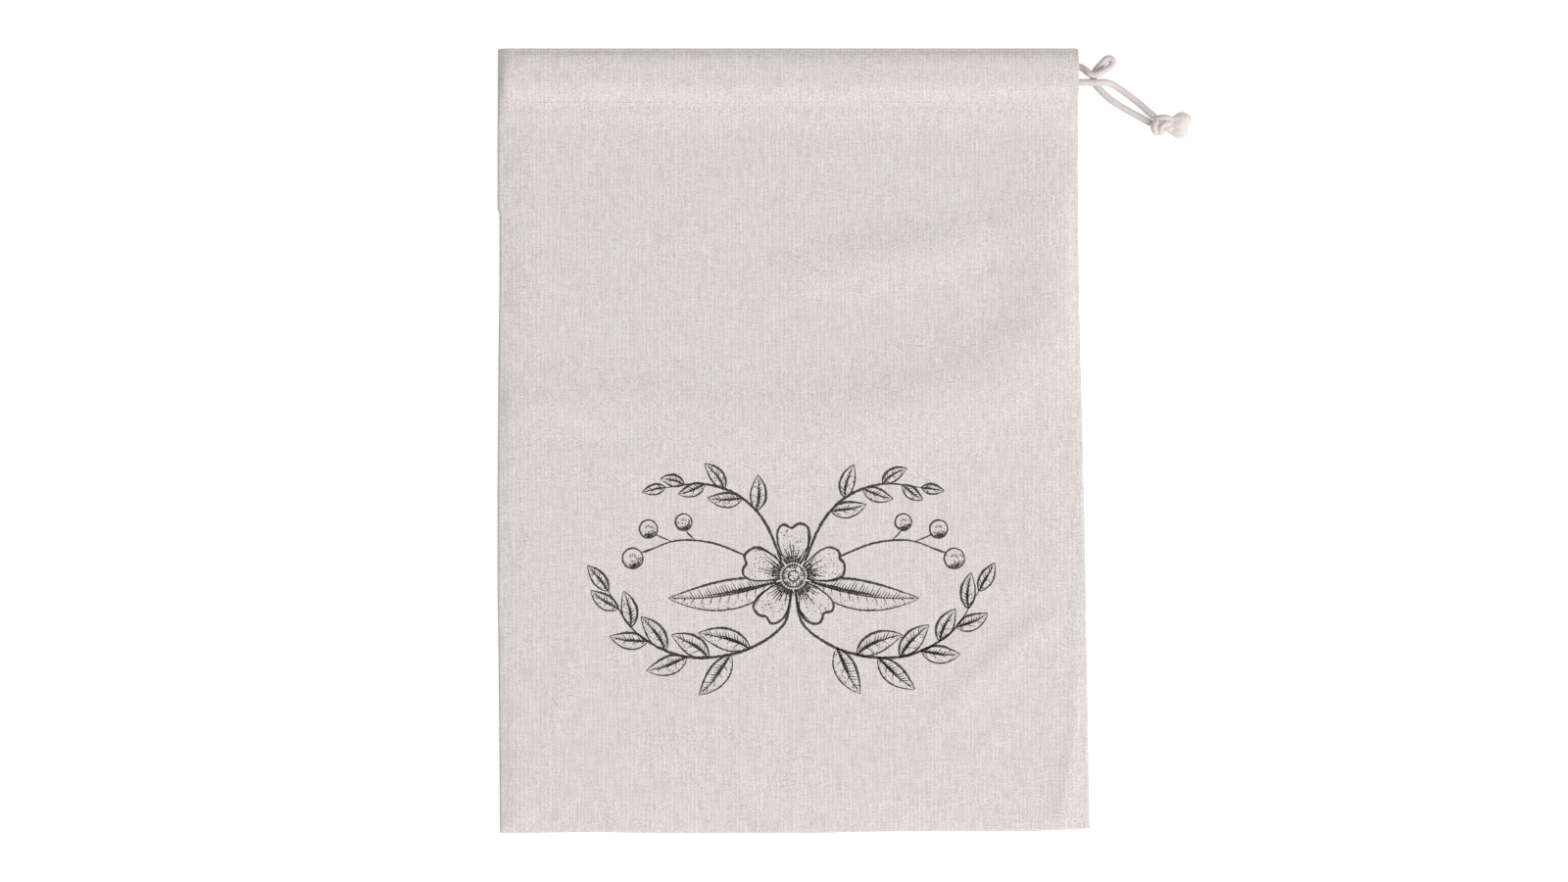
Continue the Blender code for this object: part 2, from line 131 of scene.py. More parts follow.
Streak = namedtuple("Streak", "name across along share")
STREAKS = [
    Streak("warp_yarn", 0.45, 9.0, 1.85),
    Streak("weft_yarn", 4.5, 0.42, 1.2),
    Streak("weft_slub", 17.0, 0.7, 0.5),
]
SLUB_STARTS = 0.58
SLUB_FULL = 0.74
BETWEEN_SLUBS = 0.42
GRAIN_SIZE = 0.44
GRAIN_SHARE = 4.8
THREAD_SHADE_SHARE = 0.6
FULL_WARP_SHARE = 0.42
WEAVE_RELIEF = 0.12


def crossing_threads(tree, u, v):
    """Relief from 0 to 1 of two sets of threads that pass over and under each other."""
    warp, weft = [add_node(tree, "Math", {0: along}, operation="SINE") for along in (u, v)]
    parity = add_node(tree, "Math", {0: warp, 1: weft}, operation="MULTIPLY")
    upper = add_node(tree, "MapRange", {"Value": parity, "From Min": -0.6, "From Max": 0.6})
    tops = [add_node(tree, "Math", {0: wave}, operation="ABSOLUTE") for wave in (weft, warp)]
    return add_node(tree, "Mix", {0: upper, 2: tops[0], 3: tops[1]}, data_type="FLOAT")


def slubby_weave(tree):
    """Plain weave of uneven yarns: a tone from 0 to 1, with painted shade where a thread dips under the
    other set, and a relief from 0 to 1.
    """
    in_mm = place_in_mm(tree)
    # Slubs and thin places: streaks along each yarn, as wide as one or two threads
    streaks = []
    for number, streak in enumerate(STREAKS):
        seed = 3.0 + 37.0 * number
        spread = {0: in_mm, 1: (1 / streak.across, 1 / streak.along, 0.2), 2: (seed,) * 3}
        stretched = add_node(tree, "VectorMath", spread, operation="MULTIPLY_ADD")
        streaks.append(add_node(tree, "TexNoise", {"Vector": stretched, "Scale": 1.0, "Detail": 3.0}))
    slubs = {"Value": streaks[2], "From Min": SLUB_STARTS, "From Max": SLUB_FULL, "To Min": BETWEEN_SLUBS}
    streaks[2] = add_node(tree, "MapRange", slubs)
    grain = add_node(tree, "TexNoise", {"Vector": in_mm, "Scale": 1 / GRAIN_SIZE, "Detail": 2.0})
    stray = add_node(tree, "TexNoise", {"Vector": in_mm, "Scale": STRAYS_PER_MM, "Detail": 2.0}, 1)
    moved = {0: stray, 1: (THREAD_STRAY,) * 3, 2: in_mm}
    strayed = add_node(tree, "VectorMath", moved, operation="MULTIPLY_ADD")
    counts = (pi / WARP_SPACING, pi / WEFT_SPACING, 1.0)
    counted = add_node(tree, "VectorMath", {0: strayed, 1: counts}, operation="MULTIPLY")
    warp = add_node(tree, "SeparateXYZ", {0: counted})
    weft = warp.node.outputs[1]
    relief = crossing_threads(tree, warp, weft)
    # Every third warp thread is fuller; it fades in and out where the yarn is slack or taut
    full_share = 2 * WARP_SPACING / FULL_WARP_SPACING
    thirds = add_node(tree, "Math", {0: warp, 1: full_share}, operation="MULTIPLY")
    wave = add_node(tree, "Math", {0: thirds}, operation="SINE")
    slack = add_node(tree, "MapRange", {"Value": streaks[0], "From Min": 0.35, "From Max": 0.65})
    faded = add_node(tree, "Math", {0: wave, 1: slack}, operation="MULTIPLY")
    full_warp = add_node(tree, "Math", {0: faded, 1: 0.5, 2: 0.5}, operation="MULTIPLY_ADD")
    parts = [(source, streak.share) for source, streak in zip(streaks, STREAKS)]
    # The threads' relief also lightens their tops and darkens them where they dip under: painted shade
    # between threads
    parts += [(grain, GRAIN_SHARE), (relief, THREAD_SHADE_SHARE), (full_warp, FULL_WARP_SHARE)]
    # Each part swings by its share about the middle tone
    tone = 0.5 - 0.5 * sum(share for _, share in parts)
    for source, share in parts:
        tone = add_node(tree, "Math", {0: source, 1: share, 2: tone}, operation="MULTIPLY_ADD")
    tone.node.use_clamp = True
    return tone, relief


# Each pair is dark then light; the linen's and the ink's dark colours also stand for painted shade where
# a thread dips under
YARNS_OF_LINEN = ("#C9BEBB", "#EFE8E6")
INK = ("#3A3233", "#6E6564")
# The dark colours of the cord and the opened yarn also stand for painted shade in their grooves
CORD_COTTON = ("#C6B9B5", "#F0E7E4")
OPENED_YARN = ("#DFD7D4", "#EEE8E5")
SEWING_THREAD = ("#CFC6C2", "#EDE7E4")


def linen_cotton():
    """Linen and cotton cloth in plain weave, unbleached and pressed: matt, with slubs in both
    directions. Its real threads are 0.5 mm apart; they are drawn 0.7 mm apart so that they show."""
    made, tree, shader = new_material("linen_cotton_plain_weave", 0.92, 0.15)
    tone, relief = slubby_weave(tree)
    colour_and_raise(tree, shader, tone, YARNS_OF_LINEN, relief, 0.6, WEAVE_RELIEF)
    return made


def screen_ink():
    """Water-based screen printing ink on the same weave: charcoal, matt, pressed into the threads,
    thinner where a slub took less of it, and darker where a thread dips under, as painted shade."""
    made, tree, shader = new_material("screen_printing_ink_on_linen", 0.85, 0.0)
    tone, relief = slubby_weave(tree)
    # The ink's tone follows the weave's, with its painted shade where a thread dips under
    ink_tone_and_weave_shade = add_node(tree, "MapRange", {"Value": tone, "From Min": 0.55, "To Max": 0.9})
    colour_and_raise(tree, shader, ink_tone_and_weave_shade, INK, relief, 0.5, WEAVE_RELIEF)
    return made


def soft_cotton(name, colours, fibre):
    """Soft spun cotton, undyed: matt with a little sheen, and mottled by the lie of its fibres, whose
    size is in mm. The relief kept on its points darkens its grooves, as painted shade."""
    made, tree, shader = new_material(name, 0.95, 0.3)
    in_mm = place_in_mm(tree)
    patches = add_node(tree, "TexNoise", {"Vector": in_mm, "Scale": 0.8, "Detail": 3.0})
    fibres = add_node(tree, "TexNoise", {"Vector": in_mm, "Scale": 1 / fibre, "Detail": 4.0})
    both = add_node(tree, "Math", {0: patches, 1: fibres}, operation="ADD")
    amount = add_node(tree, "MapRange", {"Value": both, "From Min": 0.7, "From Max": 1.2, "To Min": 0.35})
    # Painted shade: the relief kept on the points darkens the grooves between the braid's lobes and
    # between the yarns
    relief = add_node(tree, "Attribute", output="Fac", attribute_name="relief")
    mottle_and_groove_shade = add_node(tree, "Math", {0: relief, 1: amount}, operation="MULTIPLY")
    colour_and_raise(tree, shader, mottle_and_groove_shade, colours, fibres, 0.5, 0.1)
    return made


# Making meshes

def woven_faces(rows, across, closed=True):
    """Faces between neighbouring rows of points; closed rows go round."""
    faces = []
    for i in range(rows - 1):
        for j in range(across if closed else across - 1):
            a = i * across + j
            b = i * across + (j + 1) % across
            faces.append((a, b, b + across, a + across))
    return faces


def sweep(points, radii, sides):
    """A closed tube along points; radii has one size for each point, or one for each side of it."""
    points = np.array(points, float)
    radii = np.array(radii, float)
    if radii.ndim == 1:
        radii = np.repeat(radii[:, None], sides, axis=1)
    tangents = np.gradient(points, axis=0)
    tangents /= np.linalg.norm(tangents, axis=1)[:, None]
    side = np.cross(tangents[0], (0.0, 0.0, 1.0))
    if np.linalg.norm(side) < 0.1:
        side = np.cross(tangents[0], (0.0, 1.0, 0.0))
    angles = np.arange(sides) * 2 * pi / sides
    rings = []
    for point, tangent, sizes in zip(points, tangents, radii):
        side = side - tangent * np.dot(side, tangent)
        side /= np.linalg.norm(side)
        up = np.cross(tangent, side)
        rings.append(
            point
            + side * (np.cos(angles) * sizes)[:, None]
            + up * (np.sin(angles) * sizes)[:, None]
        )
    verts = np.concatenate([*rings, points[:1], points[-1:]])
    faces = woven_faces(len(points), sides)
    end = len(points) * sides
    for j in range(sides):
        k = (j + 1) % sides
        faces += [(end, k, j), (end + 1, end - sides + j, end - sides + k)]
    return verts, faces


def make_piece(name, parts, finish):
    """One object of several closed meshes; it rides with the bag and takes the given finish."""
    verts = []
    faces = []
    relief = []
    for part_verts, part_faces, *part_relief in parts:
        start = len(verts)
        verts.extend(map(tuple, part_verts))
        faces.extend(tuple(i + start for i in face) for face in part_faces)
        relief.extend(part_relief[0] if part_relief else [1.0] * len(part_verts))
    mesh = bpy.data.meshes.new(name)
    mesh.from_pydata(verts, [], faces)
    # Each point's relief is stored for the cotton finish, which darkens the grooves with it as painted
    # shade
    mesh.attributes.new("relief", "FLOAT", "POINT").data.foreach_set("value", relief)
    mesh.shade_smooth()
    made = put_in_scene(name, mesh)
    mesh.materials.append(finish)
    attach(made, "root")
    return made


CURVE_READINGS = 12


def smooth_route(points, step):
    """Points at even steps on a smooth curve through a route's own points."""
    points = [Vector(point) for point in points]
    ends = [2 * points[0] - points[1], *points, 2 * points[-1] - points[-2]]
    fine = []
    for a, b, c, d in zip(ends, ends[1:], ends[2:], ends[3:]):
        for k in range(CURVE_READINGS):
            t = k / CURVE_READINGS
            bend = (2 * a - 5 * b + 4 * c - d) * t**2 + (3 * b - 3 * c + d - a) * t**3
            fine.append((2 * b + (c - a) * t + bend) / 2)
    fine = np.array([*fine, points[-1]])
    reach = np.concatenate([[0.0], np.cumsum(np.linalg.norm(np.diff(fine, axis=0), axis=1))])
    count = max(2, round(reach[-1] / step))
    places = np.linspace(0.0, reach[-1], count + 1)
    return np.stack([np.interp(places, reach, fine[:, axis]) for axis in range(3)], axis=1)


def cord_path(route, step):
    """A smooth path in metres along a route in mm, with its points a step apart."""
    return smooth_route([Vector(point) * MM for point in route], step * MM)


# The cloth: its outline, folds and hem are those of the solids, in mm

CLOTH = 0.6
BAG_TOP = 200.1
HEM_DEPTH = 29.6
STITCH_Y = BAG_TOP - HEM_DEPTH
FRONT_RUN_Y = 182.5
BACK_RUN_Y = 190.5
RUN_WANDER = 0.9
WANDER_WAVES = 1.5
WANDER_FADE = 40.0
MOUTH_X = 145.1
HEM_SHORT_AT_LEFT = 11.0
HEM_SHORT_AT_TOP = 0.9
HEM_SHORT_FADE = 3.7
LAYER = 1.3
BACK_REST = 0.3
FRONT_REST = 1.8
CASING_LIFT = 3.8
AIR = 0.9
SEAM_DROP = 0.83
SEAM_ROUND = 0.7
SEAM_STACK = 0.3
SEAM_PAD = 0.2
SEAM_PAD_IN = 5.0
SEAM_PAD_SPREAD = 3.4
SEAM_PAD_RISE = 1.5
PUCKER_IN = 5.0
PUCKER_SPREAD = 4.5
EDGE_RISE = 18.0
FOLD_RISE = 7.0
CASING_EDGE = 6.0
CASING_FADE = 14.0
SLIT_FADE = 10.0
FAR_FROM_SEAM = 50.0
NOSE_STEPS = 7

Edge = namedtuple("Edge", "along out")
LEFT_EDGE = [
    Edge(-200.1, -149.6), Edge(-165.0, -149.9), Edge(-105.0, -150.4), Edge(-75.0, -150.9),
    Edge(-25.0, -150.9), Edge(45.0, -150.4), Edge(75.0, -149.9), Edge(116.4, -149.9),
    Edge(118.4, -150.9), Edge(150.0, -150.9), Edge(200.1, -150.65),
]
RIGHT_EDGE = [
    Edge(-200.1, 151.1), Edge(-180.0, 150.6), Edge(-150.0, 150.1), Edge(-105.0, 149.4),
    Edge(-52.5, 148.6), Edge(-7.5, 147.6), Edge(15.0, 147.1), Edge(45.0, 146.1), Edge(75.0, 145.6),
    Edge(112.0, 145.1), Edge(200.1, 145.1),
]
BOTTOM_EDGE = [
    Edge(-151.1, -200.1), Edge(-140.0, -200.1), Edge(-105.0, -199.6), Edge(-70.0, -200.1),
    Edge(10.5, -200.1), Edge(30.0, -199.6), Edge(45.0, -199.3), Edge(120.5, -199.1),
    Edge(135.0, -198.6), Edge(151.1, -197.6),
]

# A fold's line goes from right to left or downwards, in points of x, y and a share of the height;
# far is its spread above or left of the line, near its spread below or right of it
Fold = namedtuple("Fold", "name height far near line")
FOLDS = [
    Fold("shoulder_sweep", 2.7, 20.0, 24.0, [
        (134, 118, 0.5), (133, 77, 0.8), (125, 52, 1.0), (100, 32, 1.0), (65, 20, 1.0),
        (40, 12, 0.9), (-5, 7, 0.65), (-55, 9, 0.5), (-105, 12, 0.45), (-143, 13, 0.45),
    ]),
    Fold("under_the_hem", 2.0, 11.0, 12.0, [
        (128, 114, 0.15), (104, 106, 0.55), (72, 98, 1.0), (40, 93, 0.9), (10, 88, 0.6),
        (-15, 86, 0.0),
    ]),
    Fold("lower_right", 1.0, 4.5, 9.0, [
        (132, -86, 0.4), (121, -95, 1.0), (96, -118, 1.0), (69, -143, 0.3)
    ]),
    Fold("right_side", 1.1, 4.0, 5.5, [
        (143.5, -88, 0.2), (143.5, -118, 0.6), (142.5, -150, 0.8), (139.0, -178, 1.2),
        (135.5, -197, 1.0),
    ]),
    Fold("left_ridge", 0.6, 13.0, 9.0, [(30, 14, 0.3), (-40, 18, 0.8), (-100, 20, 1.0), (-145, 20, 0.9)]),
    Fold("left_valley", -0.8, 9.0, 7.0, [(-62, 0, 0.0), (-92, 1, 1.0), (-145, 2, 0.8)]),
    Fold("left_low", 0.6, 6.0, 7.0, [(-144, -108, 0.3), (-142.5, -145, 1.0), (-141, -195, 0.9)]),
    Fold("left_high", 0.5, 6.0, 12.0, [(-139, 118, 0.6), (-138, 80, 1.0), (-141, 40, 0.4)]),
    Fold("low_crease", 0.35, 6.0, 8.0, [(-104, -88, 0.3), (-116, -122, 1.0), (-128, -168, 0.6)]),
    Fold("low_middle", 0.5, 14.0, 20.0, [(30, -172, 0.3), (-30, -160, 1.0), (-85, -152, 0.4)]),
]

HemRow = namedtuple("HemRow", "y lift arch moves")
HEM_ROWS = [
    HemRow(STITCH_Y, 0.0, 0.0, 0.0),
    HemRow(STITCH_Y + 3.6, 0.0, 0.36, 0.3),
    HemRow(FRONT_RUN_Y - 4.2, 0.0, 0.80, 0.8),
    HemRow(FRONT_RUN_Y - 1.0, 0.0, 1.0, 1.0),
    HemRow(FRONT_RUN_Y + 1.0, 0.0, 1.0, 1.0),
    HemRow(BACK_RUN_Y - 1.0, 1.0, 1.0, 1.0),
    HemRow(BACK_RUN_Y + 1.0, 1.0, 1.0, 1.0),
    HemRow(BAG_TOP - 4.4, 0.62, 0.82, 0.5),
    HemRow(BAG_TOP - 1.6, 0.21, 0.40, 0.0),
]
HEM_STEPS = 24
HEM_CLEARANCE = 0.15


def clamped(t):
    return min(max(t, 0.0), 1.0)


def smooth(t):
    t = clamped(t)
    return t * t * (3 - 2 * t)


def read_edge(edge, along):
    return float(np.interp(along, *zip(*edge)))


def wander(x):
    """How far the two runs of cord stray sideways inside the hem."""
    wave = sin(pi * WANDER_WAVES * (x + MOUTH_X) / MOUTH_X)
    return RUN_WANDER * wave * smooth((MOUTH_X - abs(x)) / WANDER_FADE)


def one_fold(fold, x, y):
    """A fold's height at a place: its share at the nearest point of its line, less with distance."""
    nearest = 1e9
    share = 0.0
    side = 0.0
    for (from_x, from_y, first), (to_x, to_y, last) in zip(fold.line, fold.line[1:]):
        run_x = to_x - from_x
        run_y = to_y - from_y
        length = hypot(run_x, run_y)
        t = clamped(((x - from_x) * run_x + (y - from_y) * run_y) / length**2)
        off_x = x - from_x - t * run_x
        off_y = y - from_y - t * run_y
        away = hypot(off_x, off_y)
        if away < nearest:
            nearest = away
            share = first + (last - first) * smooth(t)
            side = (run_x * off_y - run_y * off_x) / (length * max(away, 0.01))
    spread = fold.far + (fold.near - fold.far) * smooth((1 + side) / 2)
    return fold.height * share * exp(-((nearest / spread) ** 2))


def hem_profiles():
    """The hem's section at even steps up it: y, stray share, and the middle heights of the back
    hem, the front hem and the front's outer layer."""
    at, lift, arch, moves = map(np.array, zip(*HEM_ROWS))
    back = FRONT_REST + lift * CASING_LIFT
    slopes = np.abs(np.diff(back) / np.diff(at))
    steepest = np.maximum([0.0, *slopes], [*slopes, 0.0])
    front = back + LAYER * np.sqrt(1 + steepest**2)
    stitched = front[0] + LAYER
    arched = front.max() + LAYER + HEM_CLEARANCE
    outer = stitched + arch * (arched - stitched)
    steps = np.linspace(at[0], at[-1], HEM_STEPS + 1)
    eased = []
    for values in (back, front, outer):
        values = np.interp(steps, at, values)
        values[1:-1] = (values[:-2] + 2 * values[1:-1] + values[2:]) / 4
        eased.append(values)
    return steps, np.interp(steps, at, moves), *eased


HEM_Y, HEM_MOVES, BACK_HEM, FRONT_HEM, OUTER = hem_profiles()


def inside_seams(x, y):
    """How far a place lies in from the left edge and from the right edge."""
    return x - read_edge(LEFT_EDGE, y), read_edge(RIGHT_EDGE, y) - x


def up_to_hem(y, fade):
    """From 0 below the hem to 1 from its stitching upwards."""
    return smooth((y - STITCH_Y + fade) / fade)


def quarter_round(t):
    return sqrt(1 - (1 - clamped(t)) ** 2)


def closed_by_seams(x, y):
    """How far the front layer may rise near the side seams; the right side is open at the hem."""
    left, right = [quarter_round(inward / CASING_EDGE) for inward in inside_seams(x, y)]
    return left * (right + (1 - right) * up_to_hem(y, SLIT_FADE))


def pressed(x, y, height, is_front):
    """A hem layer's height where the left seam presses the stack of layers together."""
    closed = closed_by_seams(x, y)
    if is_front:
        return FRONT_REST + (height - FRONT_REST) * closed
    return BACK_REST + (height - BACK_REST) * (SEAM_STACK + (1 - SEAM_STACK) * closed)


def sewn_down(x, y):
    """How far the front cloth comes down onto the back cloth at its sewn edges, with small puckers."""
    left, right = inside_seams(x, y)
    above = y - read_edge(BOTTOM_EDGE, x)
    inward = min(left, above, right + up_to_hem(y, SLIT_FADE) * FAR_FROM_SEAM)
    drop = SEAM_DROP * (1 - quarter_round(inward / SEAM_ROUND))
    along = y if min(left, right) < above else x
    pucker = sin(along * 0.83 + 1.7 * sin(along * 0.11)) * 0.05 + sin(along * 0.37 + 2.0) * 0.05
    pucker *= exp(-(((inward - PUCKER_IN) / PUCKER_SPREAD) ** 2)) * clamped(inward / SEAM_ROUND)
    return pucker - drop


def front_height(x, y):
    """Middle height of the front cloth below the hem's stitching."""
    inward = min(*inside_seams(x, y), y - read_edge(BOTTOM_EDGE, x))
    folds = sum(one_fold(fold, x, y) for fold in FOLDS)
    loose = smooth(inward / EDGE_RISE) * AIR + smooth(inward / FOLD_RISE) * folds
    pad = SEAM_PAD * exp(-(((inward - SEAM_PAD_IN) / SEAM_PAD_SPREAD) ** 2))
    body = FRONT_REST + loose + pad * smooth(inward / SEAM_PAD_RISE)
    return body + (pressed(x, y, OUTER[0], True) - body) * up_to_hem(y, CASING_FADE)


def outer_height(x, y):
    """Middle height of the front cloth anywhere on it."""
    if y < STITCH_Y:
        return front_height(x, y) + sewn_down(x, y)
    height = float(np.interp(y - wander(x) * 0.1, HEM_Y, OUTER))
    return pressed(x, y, height, True) + sewn_down(x, y)


EDGE_STATIONS = [0.0, 0.5, 1.1, 1.9, 3.0, 4.4, 6.0, 8.0, 10.5, 13.0]
CLOTH_COLUMNS = 106
CLOTH_STEP = 2.6


def stations(low, high):
    """Places across a cloth, close together at its two edges."""
    inner = np.linspace(low + EDGE_STATIONS[-1], high - EDGE_STATIONS[-1], CLOTH_COLUMNS + 1)[1:-1]
    at_high = [high - step for step in reversed(EDGE_STATIONS)]
    return [*[low + step for step in EDGE_STATIONS], *inner.tolist(), *at_high]


def body_rows():
    first = -BAG_TOP + EDGE_STATIONS[-1]
    count = round((STITCH_Y - first) / CLOTH_STEP)
    above = np.linspace(first, STITCH_Y, count + 1)[1:-1]
    return [*[-BAG_TOP + step for step in EDGE_STATIONS], *above.tolist()]


def body_y(x, row):
    """A body row follows the uneven bottom edge at its low end and is straight at the hem."""
    t = (row + BAG_TOP) / (STITCH_Y + BAG_TOP)
    return row + (read_edge(BOTTOM_EDGE, x) + BAG_TOP) * (1 - t)


def cloth_sections(is_front):
    """Stations along the cloth, from its bottom edge over the top fold and down the hem, as pairs:
    a function of x that gives y and z, and how many mm short of the left seam it ends."""
    inner = FRONT_HEM if is_front else BACK_HEM
    outer = OUTER if is_front else np.full(len(HEM_Y), BACK_REST)
    middle = (outer[-1] + inner[-1]) / 2
    half = (outer[-1] - inner[-1]) / 2

    def on_body(row, x):
        y = body_y(x, row)
        return y, front_height(x, y) + sewn_down(x, y) if is_front else BACK_REST

    def on_outer(row_y, moves, height, x):
        y = row_y + moves * wander(x)
        return y, pressed(x, y, height, True) + sewn_down(x, y) if is_front else height

    def on_nose(angle, x):
        z = pressed(x, HEM_Y[-1], middle + half * cos(angle), is_front)
        return HEM_Y[-1] + abs(half) * sin(angle), z

    def on_hem(row_y, moves, height, x):
        y = row_y + moves * wander(x)
        return y, pressed(x, y, height, is_front)

    sections = [(partial(on_body, row), 0.0) for row in body_rows()]
    sections += [(partial(on_outer, *row), 0.0) for row in zip(HEM_Y, HEM_MOVES, outer)]
    for step in range(1, NOSE_STEPS):
        share = step / NOSE_STEPS
        sections.append((partial(on_nose, pi * step / NOSE_STEPS), HEM_SHORT_AT_TOP * share))
    for row in reversed(list(zip(HEM_Y, HEM_MOVES, inner))):
        past_top = smooth((HEM_Y[-1] - row[0]) / HEM_SHORT_FADE)
        short = HEM_SHORT_AT_TOP + (HEM_SHORT_AT_LEFT - HEM_SHORT_AT_TOP) * past_top
        sections.append((partial(on_hem, *row), short))
    return sections


def make_cloth(name, is_front, finish):
    """One cloth with its hem: a fine grid of stations, then given the cloth's thickness."""
    sections = cloth_sections(is_front)
    verts = []
    for section, short in sections:
        y = section(0.0)[0]
        row = stations(read_edge(LEFT_EDGE, y) + short, read_edge(RIGHT_EDGE, y))
        for x in row:
            y_here, z = section(x)
            verts.append((x * MM, y_here * MM, z * MM))
    cloth = make_piece(name, [(verts, woven_faces(len(sections), len(row), closed=False))], finish)
    thickness = cloth.modifiers.new("cloth_thickness", "SOLIDIFY")
    thickness.thickness = CLOTH * MM
    thickness.offset = 0.0
    return cloth


STITCH_LENGTH = 2.5
STITCH_PITCH = 3.1
STITCH_THREAD = 0.2
STITCH_ROW_Y = STITCH_Y + 1.5
StitchPoint = namedtuple("StitchPoint", "along rise thickness")
STITCH = [
    StitchPoint(0, -0.22, 0.5),
    StitchPoint(0.12, 0.0, 0.95),
    StitchPoint(0.5, 0.1, 1.0),
    StitchPoint(0.88, 0.0, 0.95),
    StitchPoint(1, -0.22, 0.5),
]


def stitch_row(rnd, height):
    """A row of lock stitches across the hem: each one dips into the cloth at both ends."""
    stitches = []
    x = read_edge(LEFT_EDGE, STITCH_ROW_Y) + 2.0
    last = read_edge(RIGHT_EDGE, STITCH_ROW_Y) - 3.0
    while x < last:
        y = STITCH_ROW_Y + 0.25 * sin(x * 0.045) + rnd.uniform(-0.06, 0.06)
        slant = rnd.uniform(-0.08, 0.08)
        spots = []
        for point in STITCH:
            spot_x = x + STITCH_LENGTH * point.along
            spot_y = y + slant * (point.along - 0.5)
            spots.append(Vector((spot_x, spot_y, height(spot_x, spot_y, point.rise))) * MM)
        stitches.append(sweep(spots, [STITCH_THREAD * point.thickness * MM for point in STITCH], 8))
        x += STITCH_PITCH + rnd.uniform(-0.08, 0.08)
    return stitches


# The drawcord, in the places that its solids hold, in mm

CORD = 3.5
TAIL_BACK_ROUTE = [
    (144.5, 190.5, 3.05), (146.6, 190.4, 3.15), (148.8, 188.9, 4.2), (150.6, 187.0, 5.4),
    (152.8, 186.3, 5.75), (155.4, 186.8, 5.6), (158.4, 188.6, 3.9), (161.2, 190.5, 2.3),
    (163.0, 192.7, 1.8), (162.5, 194.5, 1.8), (160.3, 195.0, 1.8), (158.4, 193.6, 1.8),
    (156.7, 191.7, 1.8), (154.7, 189.6, 1.8), (153.3, 187.2, 1.8), (152.9, 184.9, 1.8),
    (153.7, 182.4, 1.8), (156.0, 179.5, 1.8), (159.3, 176.2, 1.8), (163.3, 172.9, 1.8),
    (168.1, 169.9, 1.8), (173.8, 166.7, 1.9), (178.6, 163.9, 2.5), (182.6, 161.75, 3.4),
]
TAIL_FRONT_ROUTE = [
    (144.5, 182.5, 5.8), (148.0, 182.4, 5.8), (152.2, 182.4, 5.75), (156.6, 182.4, 5.5),
    (160.2, 182.3, 4.2), (163.4, 181.3, 2.7), (167.6, 178.7, 1.85), (172.6, 175.0, 1.8),
    (177.2, 171.3, 2.1), (181.4, 167.3, 3.4), (183.9, 165.0, 4.4),
]
BRAID_LOBES = 8
BRAID_SIDES = 32
BRAID_STEP = 0.3
BRAID_LENGTH = 1.8
BRAID_DEPTH = 0.29
BRAID_FULLEST = 1.03
ROUNDED_END = (0.55, 0.85, 0.97)


def braided(points, radius, sides=BRAID_SIDES):
    """A soft braided cord: lobes that cross each other round it, and rounded ends. The lobes' relief goes
    with it to the finish, which darkens the valleys between them as painted shade.
    """
    points = np.array(points)
    reach = np.concatenate([[0.0], np.cumsum(np.linalg.norm(np.diff(points, axis=0), axis=1))])
    round_it = np.arange(sides) * 2 * pi / sides * BRAID_LOBES / 2
    along = reach[:, None] * pi / (BRAID_LENGTH * MM)
    one = np.sin(round_it + along)
    other = np.sin(round_it - along)
    upper = np.clip(0.5 + one * other / 1.2, 0.0, 1.0)
    relief = np.sqrt(np.abs(other) * (1 - upper) + np.abs(one) * upper)
    radii = radius * (BRAID_FULLEST - BRAID_DEPTH + BRAID_DEPTH * relief)
    for i, share in enumerate(ROUNDED_END):
        radii[i] *= share
        radii[-1 - i] *= share
    # The relief is kept on the points for painted shade in the valleys between lobes; the two end caps
    # get a middle value
    return *sweep(points, radii, sides), [*relief.ravel(), 0.5, 0.5]


FUZZ_REACH = 0.8
FUZZ_RADII = (0.022, 0.02, 0.016, 0.008)


def stray_fibres(rnd, paths, count, radius):
    """Short bent fibres that stand off a cord's surface."""
    fibres = []
    for _ in range(count):
        path = rnd.choice(paths)
        i = rnd.randrange(1, len(path) - 1)
        forward = (Vector(path[i + 1]) - Vector(path[i - 1])).normalized()
        outward = Vector([rnd.gauss(0, 1) for _ in range(3)])
        outward -= forward * outward.dot(forward)
        outward.normalize()
        lean = forward * rnd.uniform(-1.2, 1.2) + outward.cross(forward) * rnd.uniform(-0.8, 0.8)
        bend = Vector([rnd.gauss(0, 0.3) for _ in range(3)])
        reach = rnd.uniform(0.5, 1.0) * FUZZ_REACH * MM
        start = Vector(path[i]) + outward * radius * 0.93
        spots = []
        for t in (0.0, 0.35, 0.7, 1.0):
            spots.append(start + (outward * (0.75 * t - 0.35 * t * t) + lean * t + bend * t * t) * reach)
        if min(spot.z for spot in spots) < 0.05 * MM:
            continue
        fibres.append(sweep(spots, [size * MM for size in FUZZ_RADII], 3))
    return fibres


